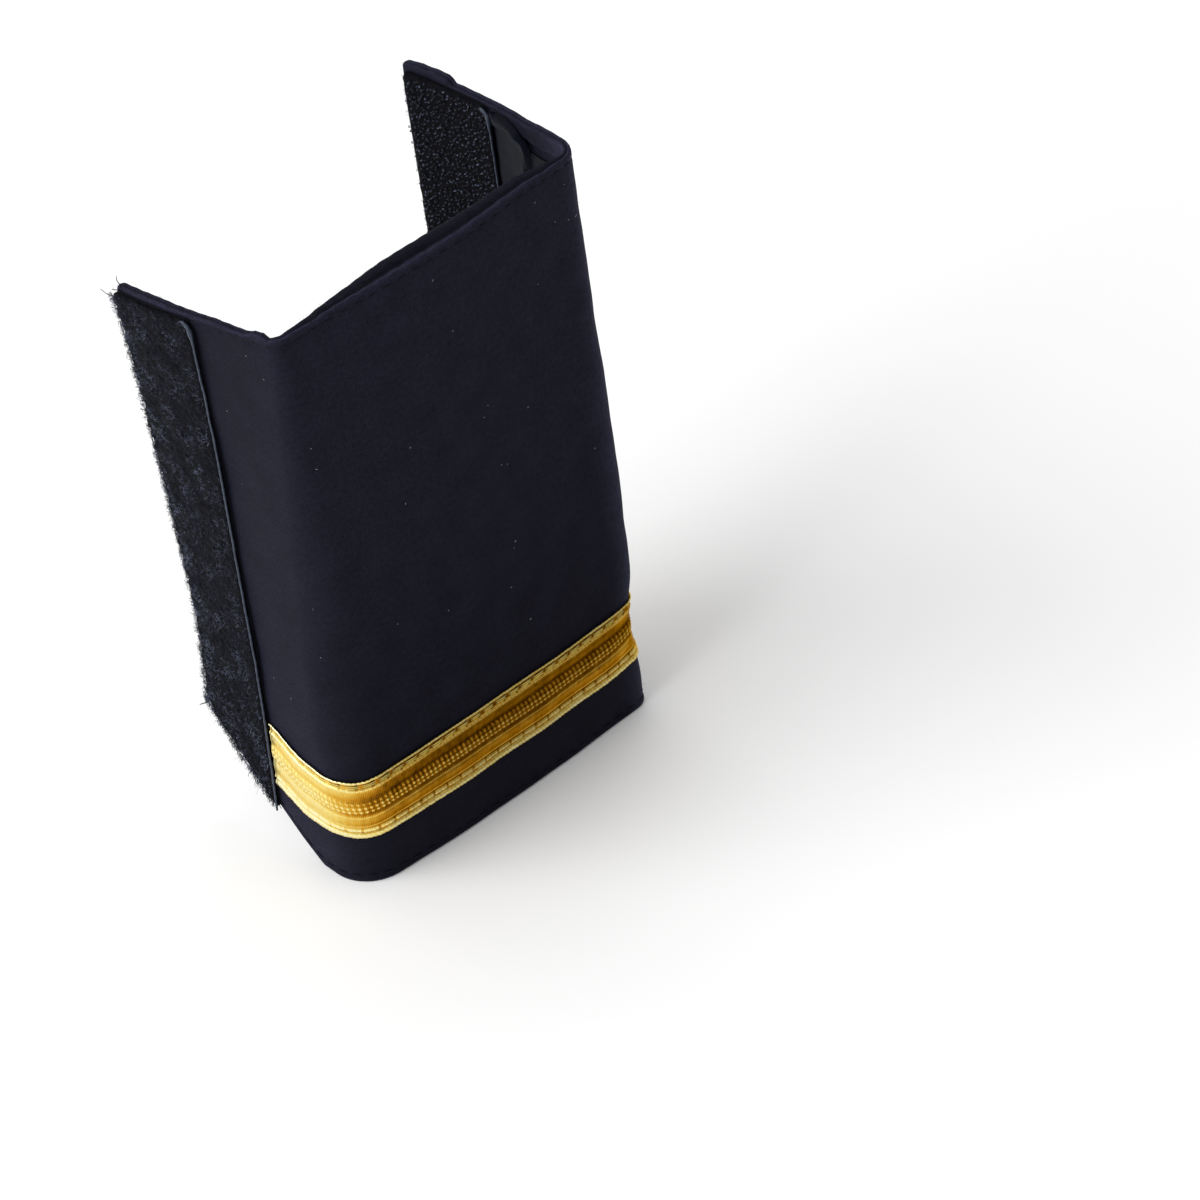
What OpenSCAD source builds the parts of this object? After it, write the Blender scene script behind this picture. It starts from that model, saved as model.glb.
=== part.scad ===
// Slip-on shoulder board, opened and standing on its lower end:
// a cloth front with two flaps folded back, a fastener strip on each flap and a band of lace.
// The front faces -Y and +Z points to the board's upper end. Millimetres.

/* [Board] */
// Height from the lower end to the top edge
board_h = 105; // [90:1:125]
// Width across the front, from fold to fold
board_w = 55; // [48:1:64]
// Cloth in each flap, from the fold to the free edge
flap_w = 31; // [28:0.5:36]
// How far the top stands forward of the foot
lean = 3.4; // [0:0.1:5]
// How far the middle of the front stands forward of its sides at the top
bow = 2.1; // [0.5:0.1:4]
// Outer radius of the folds where they are softest
fold_r = 7; // [6.5:0.1:9]

/* [Flaps] */
// Outward angle of the left flap at the top, where it leaves the fold
left_flare = 11; // [5:1:25]
// Outward angle of the right flap at the top, where it leaves the fold
right_flare = 0; // [0:1:15]
// Inward turn of the left flap between the fold and its free edge
left_curl = 10; // [0:1:35]
// Inward turn of the right flap between the fold and its free edge
right_curl = 11; // [0:1:35]
// How far the left flap's upper corner lies below the top edge
left_drop = 7; // [0:0.5:12]
// How far the right flap's upper corner lies below the top edge
right_drop = 0; // [0:0.5:12]
// Depth of the level foot on which the board stands, behind the front's face
foot_depth = 9; // [7:0.5:14]
// Height of the free edge's lower end above the foot
cut_rise = 16; // [12:1:30]
// How far the top edge dips at each fold
fold_dip = 1; // [0:0.1:1.5]

/* [Cloth] */
// Thickness of the flaps' outer cloth
flap_t = 0.8; // [0.6:0.1:0.9]
// Thickness of the front, with the stiffening sewn into it
front_t = 2.4; // [1.2:0.1:2.6]
// Thickness of the lining
lining_t = 0.5; // [0.4:0.05:0.7]
// Thickness of the hem turned to the inside
hem_t = 0.7; // [0.5:0.05:0.9]
// Width of the hem turned to the inside
hem_w = 3; // [2.5:0.5:5]
// Extra fullness of the inner layers at the middle of the top edge
fullness = 0.8; // [0:0.1:1.5]

/* [Fastener] */
// How far the two fastener strips reach in from the flaps' free edges
tape_w = 16.5; // [14:0.5:20]
// Thickness of the loop strip with its pile
loop_t = 1.4; // [0.8:0.1:1.6]
// Thickness of the hook strip with its hooks
hook_t = 1; // [0.8:0.1:1.6]
// How far the strips lie inside the flaps' free and slanted edges
tape_inset = 0.6; // [0.5:0.1:1.5]
// How far the strips' upper ends lie below the flaps' upper edge
tape_drop = 0.6; // [0.5:0.1:4]

/* [Lace] */
// Width of the lace
lace_w = 10.7; // [8:0.1:13]
// Height of the lace's lower edge above the foot
lace_up = 10.2; // [8:0.1:14]
// Thickness of the lace at its middle rib
lace_t = 0.9; // [0.6:0.1:1.4]
// How far the lace's left end climbs beside the loop strip
lace_climb = 2.4; // [0:0.1:4]

/* [Hidden] */
// Clearance between layers
gap = 0.12;
// How far the edges' outer corners are rounded off
edge_round = 0.35;
half_w = board_w / 2;
half_cloth = half_w + flap_w;
// Width over which the hem's turned edge slopes down to the cloth, and where it has ended
hem_slope = 0.5;
hem_end = hem_w + hem_slope;
// Share of the hem that is clipped away at the folds
hem_clip = 0.75;
// Distance in from an edge to the lining's edge
lining_edge = hem_end + 0.3;
// How far the front's stiffening thins out on its way to a fold, and how far the top edge dips around one
thin_from = 1.8 * fold_r;
thin_over = 1.5 * fold_r;
dip_reach = 1.8 * fold_r;
// Share of the height from which the top's inner layers fill out, and the middle of that fullness
full_from = 0.72;
full_middle = -0.1 * board_w;
// Length over which the lace's left end climbs, and how far its right end stays inside the slanted edge
climb_over = 0.5 * lace_w;
lace_inset = 1;
// Rows and columns of points close to the cloth's edges
rim_rows = [0, 0.5, 1.4];
// Least distance between a piece's own edge and the next column of points
column_gap = 1;

// Shape of the wrap up its height: [share of the height, share of the size in the name]
LEFT_RADIUS = [[0, 1], [0.25, 0.92], [0.55, 0.85], [0.8, 0.45], [1, 0.34]];
RIGHT_RADIUS = [[0, 0.36], [0.4, 0.36], [1, 0.45]];
LEFT_TURN = [[0, 0.25], [0.3, -0.15], [0.6, 0.15], [0.8, 0.5], [1, 1]];
RIGHT_TURN = [[0, 0.6], [1, 1]];
FRONT_BOW = [[0, 0.4], [0.3, 0.3], [1, 1]];
// Section of the lace: [share of its width, share of its thickness]
LACE_SECTION = [
    [0, 0.5], [0.04, 0.66], [0.4, 0.66], [0.45, 1],
    [0.55, 1], [0.6, 0.66], [0.96, 0.66], [1, 0.5]];

function mix(a, b, t) = a + (b - a) * t;
function clamp(t) = min(1, max(0, t));
function ease(t) = let(c = clamp(t)) c * c * (3 - 2 * c);

// Plan of one side of the wrap at height z, from the middle of the front: [length, turn] of each stretch
function plan(side, z) =
    let(t = z / board_h,
        r = fold_r * lookup(t, side < 0 ? LEFT_RADIUS : RIGHT_RADIUS),
        flare = side < 0 ? left_flare * lookup(t, LEFT_TURN) : right_flare * lookup(t, RIGHT_TURN),
        front = half_w - r,
        sweep = 2 * bow * lookup(t, FRONT_BOW) / front * 180 / PI,
        turn = 90 - flare - sweep,
        fold = r * turn * PI / 180)
    [[front, sweep], [fold, turn], [half_cloth - front - fold, side < 0 ? left_curl : right_curl]];

// Place after a distance along a plan: [x, y, heading]
function walk(stretches, distance, at = [0, 0, 0], i = 0) =
    i == len(stretches) || distance <= 0 ? at
    : let(run = min(distance, stretches[i][0]),
          turn = stretches[i][1] * run / stretches[i][0],
          chord = abs(turn) < 0.01 ? run : run * sin(turn / 2) / (turn * PI / 360),
          heading = at[2] + turn / 2)
      walk(stretches, distance - run,
           [at[0] + chord * cos(heading), at[1] + chord * sin(heading), at[2] + turn], i + 1);

// Point of the wrap: d along the cloth from the middle of the front, height z, out from the outer face
function wrap(d, z, out) =
    let(side = d < 0 ? -1 : 1,
        at = walk(plan(side, z), abs(d)))
    [side * (at[0] + out * sin(at[2])),
     at[1] - out * cos(at[2]) - lean * z / board_h - bow * lookup(z / board_h, FRONT_BOW),
     z];

// Outline of the cloth: heights of its lower and upper edges at a distance d along it
function flap_share(d) = clamp((abs(d) - half_w) / flap_w);
function foot_end(d) =
    half_w + foot_depth - (2 - PI / 2) * fold_r * (d < 0 ? LEFT_RADIUS : RIGHT_RADIUS)[0][1];
function low(d) = cut_rise * max(0, abs(d) - foot_end(d)) / (half_cloth - foot_end(d));
function near_fold(d, reach) = 1 - ease(abs(abs(d) - half_w) / reach);
function high(d) =
    board_h - (d < 0 ? left_drop : right_drop) * flap_share(d) - fold_dip * near_fold(d, dip_reach);

// Thickness of the outer cloth and of its hem, which is clipped thin at the folds
function wall(d) = mix(front_t, flap_t, ease((abs(d) - half_w + thin_from) / thin_over));
function hem(d) = hem_t * (1 - hem_clip * near_fold(d, fold_r));
// Fullness of the layers behind the front's top edge
function puff(d, z) =
    fullness * ease((z / board_h - full_from) / (1 - full_from))
    * (1 - ease(abs(d - full_middle) / half_w));

// Distances along the cloth from the middle of the front to a free edge
fold_steps = 8;
fold_past = 2;
function side_columns(side) = concat(
    [for (i = [1 : 4]) (half_w - fold_r) * i / 4],
    [for (i = [1 : fold_steps]) half_w - fold_r + (fold_r + fold_past) * i / fold_steps],
    [for (i = [1 : 2]) mix(half_w + fold_past, foot_end(side), i / 2)],
    [for (i = [1 : 3]) mix(foot_end(side), half_cloth - hem_end, i / 3)],
    [half_cloth - hem_w], [for (e = reversed(rim_rows)) half_cloth - e]);
function reversed(list) = [for (i = [len(list) - 1 : -1 : 0]) list[i]];
columns = concat(-reversed(side_columns(-1)), [0], side_columns(1));

// Heights in one column between two edges, with close rows at the edges
function rows_between(bottom, top, edges, inner_rows) =
    let(first = edges[len(edges) - 1])
    concat([for (e = edges) bottom + e],
           [for (i = [1 : inner_rows - 1]) mix(bottom + first, top - first, i / inner_rows)],
           [for (i = [len(edges) - 1 : -1 : 0]) top - edges[i]]);
cloth_edges = concat(rim_rows, [hem_w, hem_end]);

// Closed shell between two grids of points, rows upwards and columns from left to right
module shell(outer, inner) {
    rows = len(outer);
    cols = len(outer[0]);
    n = rows * cols;
    points = concat([for (row = outer) each row], [for (row = inner) each row]);
    skins = [for (r = [0 : rows - 2], c = [0 : cols - 2])
        let(a = r * cols + c, b = a + 1, up = a + cols, upb = up + 1)
        each [[a, up, upb], [a, upb, b], [n + a, n + upb, n + up], [n + a, n + b, n + upb]]];
    ends = [for (c = [0 : cols - 2])
        let(a = c, p = n - cols + c)
        each [[a, a + 1, n + a + 1], [a, n + a + 1, n + a],
              [p + 1, p, n + p], [p + 1, n + p, n + p + 1]]];
    sides = [for (r = [0 : rows - 2])
        let(a = r * cols, up = a + cols, b = a + cols - 1, upb = b + cols)
        each [[up, a, n + a], [up, n + a, n + up], [b, upb, n + upb], [b, n + upb, n + b]]];
    polyhedron(points, concat(skins, ends, sides), convexity = 8);
}

// Grids of the outer cloth: the hem is thicker and its outer corners are rounded
cloth_heights = [for (d = columns) rows_between(low(d), high(d), cloth_edges, 9)];
row_count = len(cloth_heights[0]);
function from_edge(i, n) = min(i, n - 1 - i);
function in_hem(r, c) = min(from_edge(r, row_count), from_edge(c, len(columns))) < len(cloth_edges) - 1;
function at_rim(r, c) = min(from_edge(r, row_count), from_edge(c, len(columns))) == 0;
function cloth_grid(inside) =
    [for (r = [0 : row_count - 1])
        [for (c = [0 : len(columns) - 1])
            let(d = columns[c],
                z = cloth_heights[c][r],
                back = wall(d) + puff(d, z) + (in_hem(r, c) ? hem(d) : 0),
                rim = at_rim(r, c) ? edge_round : 0)
            wrap(d, z, inside ? rim - back : -rim)]];
cloth_outer = cloth_grid(false);
cloth_inner = cloth_grid(true);

// Grid of a patch: a list of columns, each a list of [distance, height], at a height above the cloth's face
function patch(cells, out) =
    [for (r = [0 : len(cells[0]) - 1])
        [for (column = cells) wrap(column[r][0], column[r][1], out(column[r][0], column[r][1]))]];

// Lining, inside the hem
lining_columns = [for (d = columns) if (abs(d) < half_cloth - lining_edge - column_gap) d];
lining_cells = [for (d = concat([lining_edge - half_cloth], lining_columns, [half_cloth - lining_edge]))
    [for (z = rows_between(low(d) + lining_edge, high(d) - lining_edge, [0], 10)) [d, z]]];

// Fastener strips, along the free edge of each flap
tape_end = half_cloth - tape_inset;
function tape_cells(side) =
    [for (i = [0 : 5])
        let(d = side * mix(half_cloth - tape_w, tape_end, side < 0 ? 1 - i / 5 : i / 5))
        [for (z = rows_between(low(d) + tape_inset, high(d) - tape_drop, [0], 10)) [d, z]]];

// Lace, from the loop strip's inner edge round the front to the right flap's slanted end
lace_left = tape_w + gap - half_cloth;
lace_climbed = lace_left + climb_over;
function lace_right(z) =
    min(mix(foot_end(1), half_cloth, (z - lace_inset) / cut_rise), half_cloth - lace_inset);
function lace_base(d) = lace_up + lace_climb * ease((lace_climbed - d) / climb_over);
lace_columns = [for (d = columns)
    if (d > lace_climbed + column_gap && d < lace_right(lace_up) - column_gap) d];
lace_last = lace_columns[len(lace_columns) - 1];
lace_cells = concat(
    [for (d = concat([for (i = [0 : 3]) lace_left + climb_over * i / 3], lace_columns))
        [for (row = LACE_SECTION) [d, lace_base(d) + lace_w * row[0]]]],
    [for (i = [1 : 4]) [for (row = LACE_SECTION)
        let(z = lace_up + lace_w * row[0]) [mix(lace_last, lace_right(z), i / 4), z]]]);
function lace_height(d, z) = gap + lace_t * lookup((z - lace_base(d)) / lace_w, LACE_SECTION);

// Outer grids of all pieces that reach furthest, for the middle of the footprint
loop_outer = patch(tape_cells(-1), function(d, z) gap + loop_t);
lace_outer = patch(lace_cells, function(d, z) lace_height(d, z));
reach = [for (grid = [cloth_outer, cloth_inner, loop_outer, lace_outer]) for (row = grid) each row];
middle = [(min([for (p = reach) p[0]]) + max([for (p = reach) p[0]])) / 2,
          (min([for (p = reach) p[1]]) + max([for (p = reach) p[1]])) / 2];

// Moves a piece so that the footprint's middle lies on the origin
module placed() {
    translate([-middle[0], -middle[1], 0]) children();
}

// Navy twill: the front and both flaps in one piece, with its hem
module outer_cloth() {
    color("#24242e") placed() shell(cloth_outer, cloth_inner);
}

// Smooth dark lining behind the front and inside the flaps
module lining() {
    color("#35353c") placed() shell(
        patch(lining_cells, function(d, z) -wall(d) - puff(d, z) - gap),
        patch(lining_cells, function(d, z) -wall(d) - puff(d, z) - gap - lining_t));
}

// Soft half of the fastener, outside the left flap
module loop_strip() {
    color("#30303a") placed() shell(
        loop_outer,
        patch(tape_cells(-1), function(d, z) gap));
}

// Hooked half of the fastener, inside the right flap
module hook_strip() {
    color("#4a4a54") placed() shell(
        patch(tape_cells(1), function(d, z) -flap_t - hem_t - gap),
        patch(tape_cells(1), function(d, z) -flap_t - hem_t - gap - hook_t));
}

// Gold lace with a raised middle rib
module gold_lace() {
    color("#8a6324") placed() shell(
        lace_outer,
        patch(lace_cells, function(d, z) gap));
}

outer_cloth();
lining();
loop_strip();
hook_strip();
gold_lace();
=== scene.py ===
import math
from functools import partial
import bpy
import numpy as np
from mathutils import Matrix, Vector


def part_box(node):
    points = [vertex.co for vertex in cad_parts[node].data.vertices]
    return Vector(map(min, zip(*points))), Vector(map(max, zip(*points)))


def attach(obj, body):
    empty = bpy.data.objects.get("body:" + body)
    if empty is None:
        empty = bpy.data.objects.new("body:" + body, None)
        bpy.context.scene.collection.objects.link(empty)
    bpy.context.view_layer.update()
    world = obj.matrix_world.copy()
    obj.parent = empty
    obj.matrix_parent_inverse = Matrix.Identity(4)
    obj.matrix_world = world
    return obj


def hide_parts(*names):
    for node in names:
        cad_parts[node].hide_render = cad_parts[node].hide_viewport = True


# Slip-on shoulder board, opened and standing on its lower end: navy cloth with two flaps folded back,
# a loop strip and a hook strip along their free edges, and a band of gold lace.
# Shapes are worked out in millimetres and put into the meshes in metres.

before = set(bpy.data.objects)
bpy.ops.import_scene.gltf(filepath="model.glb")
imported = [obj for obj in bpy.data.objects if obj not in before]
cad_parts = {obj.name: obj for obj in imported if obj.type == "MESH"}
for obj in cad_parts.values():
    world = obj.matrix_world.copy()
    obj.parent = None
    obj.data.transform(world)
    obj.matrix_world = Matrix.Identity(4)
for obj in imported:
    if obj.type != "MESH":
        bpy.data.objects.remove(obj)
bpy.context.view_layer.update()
mm = 0.001

# Camera: the photograph's viewing angle
cameraSettings = {
    "place": (-411.96, -621.02, 686.32),  # mm, in the part's frame
    "heading": 35.526,                    # degrees from +Y towards +X
    "down": 41.581,                       # degrees below level
    "roll": 8.918,                        # degrees
    "picture": 1200,                      # px, its width and height
    "focal": 7015.72,                     # px
    "centre": (594.46, 599.15),           # px, where the lens axis meets the picture
    "sensor": 36,                         # mm
}


def addObject(name, data):
    # puts data into the scene under its name
    thing = bpy.data.objects.new(name, data)
    bpy.context.scene.collection.objects.link(thing)
    return thing


def makeCamera(s):
    # axes from the heading and the fall of the view, then turned by the roll
    heading, down, roll = (math.radians(s[k]) for k in ("heading", "down", "roll"))
    right = Vector((math.cos(heading), -math.sin(heading), 0))
    level = Vector((math.sin(heading), math.cos(heading), 0))
    forward = level * math.cos(down) - Vector((0, 0, math.sin(down)))
    up = right.cross(forward)
    across = right * math.cos(roll) - up * math.sin(roll)
    upwards = right * math.sin(roll) + up * math.cos(roll)
    camera = addObject("camera", bpy.data.cameras.new("camera"))
    camera.matrix_world = Matrix.Translation(Vector(s["place"]) * mm) @ Matrix(
        (across, upwards, -forward)).transposed().to_4x4()
    camera.data.lens = s["focal"] / s["picture"] * s["sensor"]
    camera.data.sensor_width = s["sensor"]
    camera.data.shift_x = 0.5 - s["centre"][0] / s["picture"]
    camera.data.shift_y = s["centre"][1] / s["picture"] - 0.5
    camera.data.clip_start, camera.data.clip_end = 0.01, 50
    bpy.context.scene.camera = camera


makeCamera(cameraSettings)
print("camera set")

# The wrap: one surface that every piece follows
board = {
    "height": 105, "width": 55, "flap": 31,      # mm
    "lean": 3.4, "bow": 2.1, "foldRadius": 7,
    "flare": (11, 0), "curl": (10, 11), "drop": (7, 0),       # left, right
    "swell": 1.25, "swellAt": (68, 24), "swellFrom": (45, 13),  # height and spread; start and run
    "footDepth": 9, "cutRise": 16, "cutHollow": 0.9, "foldDip": 1,
    "flapCloth": 0.8, "frontCloth": 2.4, "hem": 0.7, "hemWidth": 3, "fullness": 0.8, "lining": 0.5,
    "hollow": 0.9, "hollowAt": (-17, 6),  # depth, then place and spread beside the left fold
}
# share of the height against the share of the size in the name
upTheHeight = {
    "radius": ([(0, 1), (0.25, 0.92), (0.55, 0.85), (0.8, 0.45), (1, 0.34)],
               [(0, 0.36), (0.4, 0.36), (1, 0.45)]),
    "turn": ([(0, 0.25), (0.3, -0.15), (0.6, 0.15), (0.8, 0.5), (1, 1)], [(0, 0.6), (1, 1)]),
    "bow": ([(0, 0.4), (0.3, 0.3), (1, 1)],) * 2,
}
halfWidth = board["width"] / 2
halfCloth = halfWidth + board["flap"]
gap = 0.12  # mm between layers


def ease(t):
    # 3t^2 - 2t^3 between 0 and 1
    t = np.clip(t, 0, 1)
    return t * t * (3 - 2 * t)


def mix(a, b, t):
    # a + (b - a) t
    return a + (b - a) * t


def bell(t):
    # e^(-t^2)
    return np.exp(-t ** 2)


def unit(v):
    # vectors divided by their lengths
    return v / (np.linalg.norm(v, axis=-1, keepdims=True) + 1e-9)


def alongHeight(name, i, z):
    # the table's share at height z, averaged over a short window so that the rows' corners don't show
    t = z / board["height"]
    table = np.array(upTheHeight[name][i])
    window = np.minimum(0.07, np.minimum(np.clip(t, 0, 1), np.clip(1 - t, 0, 1)))
    return sum(np.interp(t + window * k, table[:, 0], table[:, 1]) for k in (-1, -0.5, 0, 0.5, 1)) / 5


def wrapSide(side, d, z, out):
    # three arcs in plan, front, fold and flap: each adds chord x (cos, sin) of its middle heading
    i = 0 if side < 0 else 1
    radius = board["foldRadius"] * alongHeight("radius", i, z)
    bow = board["bow"] * alongHeight("bow", i, z)
    front = halfWidth - radius
    sweep = 2 * bow / front
    turn = np.pi / 2 - np.radians(board["flare"][i] * alongHeight("turn", i, z)) - sweep
    fold = radius * turn
    flap = halfCloth - front - fold
    x, y, heading = np.zeros_like(d), np.zeros_like(d), np.zeros_like(d)
    rest = np.abs(d)
    for length, bend, last in ((front, sweep, False), (fold, turn, False),
                               (flap, np.radians(board["curl"][i]), True)):
        run = np.maximum(rest, 0) if last else np.clip(rest, 0, length)
        part = bend * run / length
        chord = run * np.sinc(part / 2 / np.pi)
        x, y = x + chord * np.cos(heading + part / 2), y + chord * np.sin(heading + part / 2)
        heading, rest = heading + part, rest - run
    return np.stack([side * (x + out * np.sin(heading)),
                     y - out * np.cos(heading) - board["lean"] * z / board["height"] - bow, z], -1)


def wrap(d, z, out=0.0, fuller=1.0):
    # d along the cloth from the middle of the front, z up, out away from the cloth's outer face
    d, z, out = np.broadcast_arrays(*(np.asarray(v, float) for v in (d, z, out)))
    # the left flap's free edge swells a little in its upper half: a bell over the height
    (up, spread), (start, run) = board["swellAt"], board["swellFrom"]
    d = d - fuller * board["swell"] * bell((z - up) / spread) * ease((-d - start) / run)
    return np.where((d < 0)[..., None], wrapSide(-1, d, z, out), wrapSide(1, d, z, out)) + placed


def footEnd(i):
    # where the level foot ends: its depth less what the fold's arc saves against a sharp corner
    radius = board["foldRadius"] * upTheHeight["radius"][i][0][1]
    return halfWidth + board["footDepth"] - (2 - np.pi / 2) * radius


def low(d):
    # level under the front, then a straight slant up to the free edge, hollowed a little on the left flap
    end = np.where(d < 0, footEnd(0), footEnd(1))
    share = np.maximum(0, np.abs(d) - end) / (halfCloth - end)
    hollow = np.where(d < 0, board["cutHollow"], 0) * np.sin(np.pi * np.minimum(share, 1))
    return board["cutRise"] * share + hollow


def nearFold(d, reach):
    # 1 on a fold, easing to 0 at reach
    return 1 - ease(np.abs(np.abs(d) - halfWidth) / reach)


def high(d):
    # level over the front with a dip at each fold, then down to the flap's corner
    drop = np.where(d < 0, *board["drop"]) * np.clip((np.abs(d) - halfWidth) / board["flap"], 0, 1)
    return board["height"] - drop - board["foldDip"] * nearFold(d, 1.8 * board["foldRadius"])


def wall(d):
    # thickness of the cloth, from the padded front to the flaps
    return mix(board["frontCloth"], board["flapCloth"],
               ease((np.abs(d) - halfWidth + 1.8 * board["foldRadius"]) / (1.5 * board["foldRadius"])))


def hem(d):
    # what the turned hem adds, thinner on the folds
    return board["hem"] * (1 - 0.75 * nearFold(d, board["foldRadius"]))


def puff(d, z):
    # fullness behind the top edge, less a hollow beside the left fold
    full = board["fullness"] * ease((z / board["height"] - 0.72) / 0.28) * (
        1 - ease(np.abs(d + 0.1 * board["width"]) / halfWidth))
    place, spread = board["hollowAt"]
    return full - board["hollow"] * bell((d - place) / spread) * ease((z / board["height"] - 0.55) / 0.45)


# the CAD part stands with the middle of its footprint on the origin
placed = np.zeros(3)
tryD, tryZ = np.meshgrid(np.linspace(-halfCloth, halfCloth, 235), np.linspace(0, 1, 41))
tryZ = mix(low(tryD), high(tryD), tryZ)
tryAll = np.concatenate([wrap(tryD, tryZ, out, 0).reshape(-1, 3) for out in (0, -wall(tryD) - hem(tryD))])
cadCloth = np.array(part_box("outer_cloth")) / mm
placed = np.append(((cadCloth[0] + cadCloth[1]) / 2 - (tryAll.min(0) + tryAll.max(0)) / 2)[:2], 0)
print("wrap placed", placed.round(3), "cloth box", cadCloth.round(2).tolist())


def hills(x, y, wavelength, seed):
    # plane waves of about one wavelength in random directions, added up: smooth hills, mostly from -1 to 1
    r = np.random.default_rng(seed)
    count, full = 16, 2 * np.pi
    total = np.zeros(np.broadcast(x, y).shape)
    spans = (0, full), (0.7, 1.6), (0, full)
    for angle, stretch, phase in zip(*(r.uniform(*span, count) for span in spans)):
        total += np.sin(full * (x * np.cos(angle) + y * np.sin(angle)) / (wavelength * stretch) + phase)
    return total * np.sqrt(2 / count) / 1.6


# Meshes
def newPiece(name, points, faces, material, uv=None, tone=None):
    # points in mm, faces as arrays of corner numbers, uv as two arrays in mm, along and up the cloth,
    # tone one number a point
    points = points.reshape(-1, 3)
    sizes = np.concatenate([np.full(len(f), f.shape[1]) for f in faces])
    corners = np.concatenate([f.ravel() for f in faces]).astype(np.int32)
    mesh = bpy.data.meshes.new(name)
    mesh.vertices.add(len(points))
    mesh.vertices.foreach_set("co", (points * mm).astype(np.float32).ravel())
    mesh.loops.add(len(corners))
    mesh.loops.foreach_set("vertex_index", corners)
    mesh.polygons.add(len(sizes))
    mesh.polygons.foreach_set("loop_start", (np.cumsum(sizes) - sizes).astype(np.int32))
    mesh.polygons.foreach_set("use_smooth", np.ones(len(sizes), bool))
    mesh.update(calc_edges=True)
    if uv is not None:
        uv = np.stack(uv, -1).reshape(-1, 2)[corners]
        mesh.uv_layers.new(name="clothMm").data.foreach_set("uv", uv.astype(np.float32).ravel())
    if tone is not None:
        tone = tone.astype(np.float32).ravel()
        mesh.attributes.new("tone", "FLOAT", "POINT").data.foreach_set("value", tone)
    mesh.materials.append(material)
    piece = addObject(name, mesh)
    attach(piece, "root")
    print(f"{name}: {int((sizes - 2).sum())} triangles")
    return piece


def gridFaces(rows, cols, closeRows=False):
    # quads of a grid numbered row by row; closeRows joins the last column back to the first
    r, c = np.meshgrid(np.arange(rows - 1), np.arange(cols if closeRows else cols - 1), indexing="ij")
    a, b, up = r * cols + c, r * cols + (c + 1) % cols, cols
    return np.stack([a, a + up, b + up, b], -1).reshape(-1, 4)


def makeTubes(name, paths, radii, sides, material, tone=None):
    # rings of points round each path: centre + radius x (cos normal + sin binormal), and a face at each
    # end; radii and tone are numbers for each ring, or for each path
    n, m, _ = paths.shape
    along = unit(np.gradient(paths, axis=1))
    helper = np.where(np.abs(along[:, :1, 2:]) > 0.8, np.array([1.0, 0, 0]), np.array([0, 0, 1.0]))
    normal = unit(np.cross(along, np.broadcast_to(helper, along.shape)))
    binormal = np.cross(along, normal)
    a = np.arange(sides) / sides * 2 * np.pi
    ring = np.cos(a)[:, None] * normal[:, :, None] + np.sin(a)[:, None] * binormal[:, :, None]
    radii = np.broadcast_to(radii, (n, m))
    points = paths[:, :, None] + ring * radii[..., None, None]
    one = gridFaces(m, sides, closeRows=True)[:, ::-1]
    caps = np.stack([np.arange(sides)[::-1], (m - 1) * sides + np.arange(sides)])[:, ::-1]
    offset = (np.arange(n) * m * sides)[:, None, None]
    faces = [(one + offset).reshape(-1, 4), (caps + offset).reshape(-1, sides)]
    if tone is not None:
        tone = np.repeat(np.broadcast_to(tone, (n, m)), sides)
    return newPiece(name, points, faces, material, tone=tone)


def outwards(d, z):
    # unit vectors away from the cloth, up it and along it
    return (unit(wrap(d, z, 1) - wrap(d, z)), unit(wrap(d, z + 0.5) - wrap(d, z - 0.5)),
            unit(wrap(d + 0.4, z) - wrap(d - 0.4, z)))


def makeHairs(name, root, away, aside, length, radii, material, tone=None):
    # each hair leaves its root straight and bends aside: root + length x (away t + aside t^2)
    t = np.linspace(0, 1, radii.shape[-1])[None, :, None]
    path = root[:, None] + length[:, None, None] * (away[:, None] * t + aside[:, None] * t ** 2)
    return makeTubes(name, path, radii, 3, material, tone)


# Materials
def linear(hexText):
    # sRGB hex to linear: (c / 12.92) below 0.04045, else ((c + 0.055) / 1.055)^2.4
    c = np.array([int(hexText[i:i + 2], 16) / 255 for i in (0, 2, 4)])
    return (*np.where(c <= 0.04045, c / 12.92, ((c + 0.055) / 1.055) ** 2.4).tolist(), 1.0)


def addNode(tree, kind, settings=None, links=None):
    # settings are the node's own options; links are socket values, or what joins the socket:
    # a node for its first output, or (node, output)
    node = tree.nodes.new("ShaderNode" + kind)
    for key, value in (settings or {}).items():
        setattr(node, key, value)
    for key, value in (links or {}).items():
        source, output = value if isinstance(value, tuple) and len(value) == 2 else (value, 0)
        if isinstance(source, bpy.types.Node):
            tree.links.new(source.outputs[output], node.inputs[key])
        else:
            node.inputs[key].default_value = value
    return node


def newMaterial(name):
    # an empty material, and add, which adds nodes to it
    material = bpy.data.materials.new(name)
    material.use_nodes = True
    tree = material.node_tree
    tree.nodes.clear()
    return material, partial(addNode, tree)


def finish(material, add, surface):
    # the surface's sockets, as in addNode
    add("OutputMaterial", links={"Surface": add("BsdfPrincipled", links=surface)})
    return material


def setRamp(node, stops):
    # colour stops as (place, hex)
    ramp = node.color_ramp
    while len(ramp.elements) > 1:
        ramp.elements.remove(ramp.elements[-1])
    ramp.elements[0].position, ramp.elements[0].color = stops[0][0], linear(stops[0][1])
    for place, colour in stops[1:]:
        ramp.elements.new(place).color = linear(colour)
    return node


def wave(period):
    # a wave texture runs through 20 x scale radians a unit
    return 2 * math.pi / 20 / period


multiply, multiplyAdd = {"operation": "MULTIPLY"}, {"operation": "MULTIPLY_ADD"}


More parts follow.
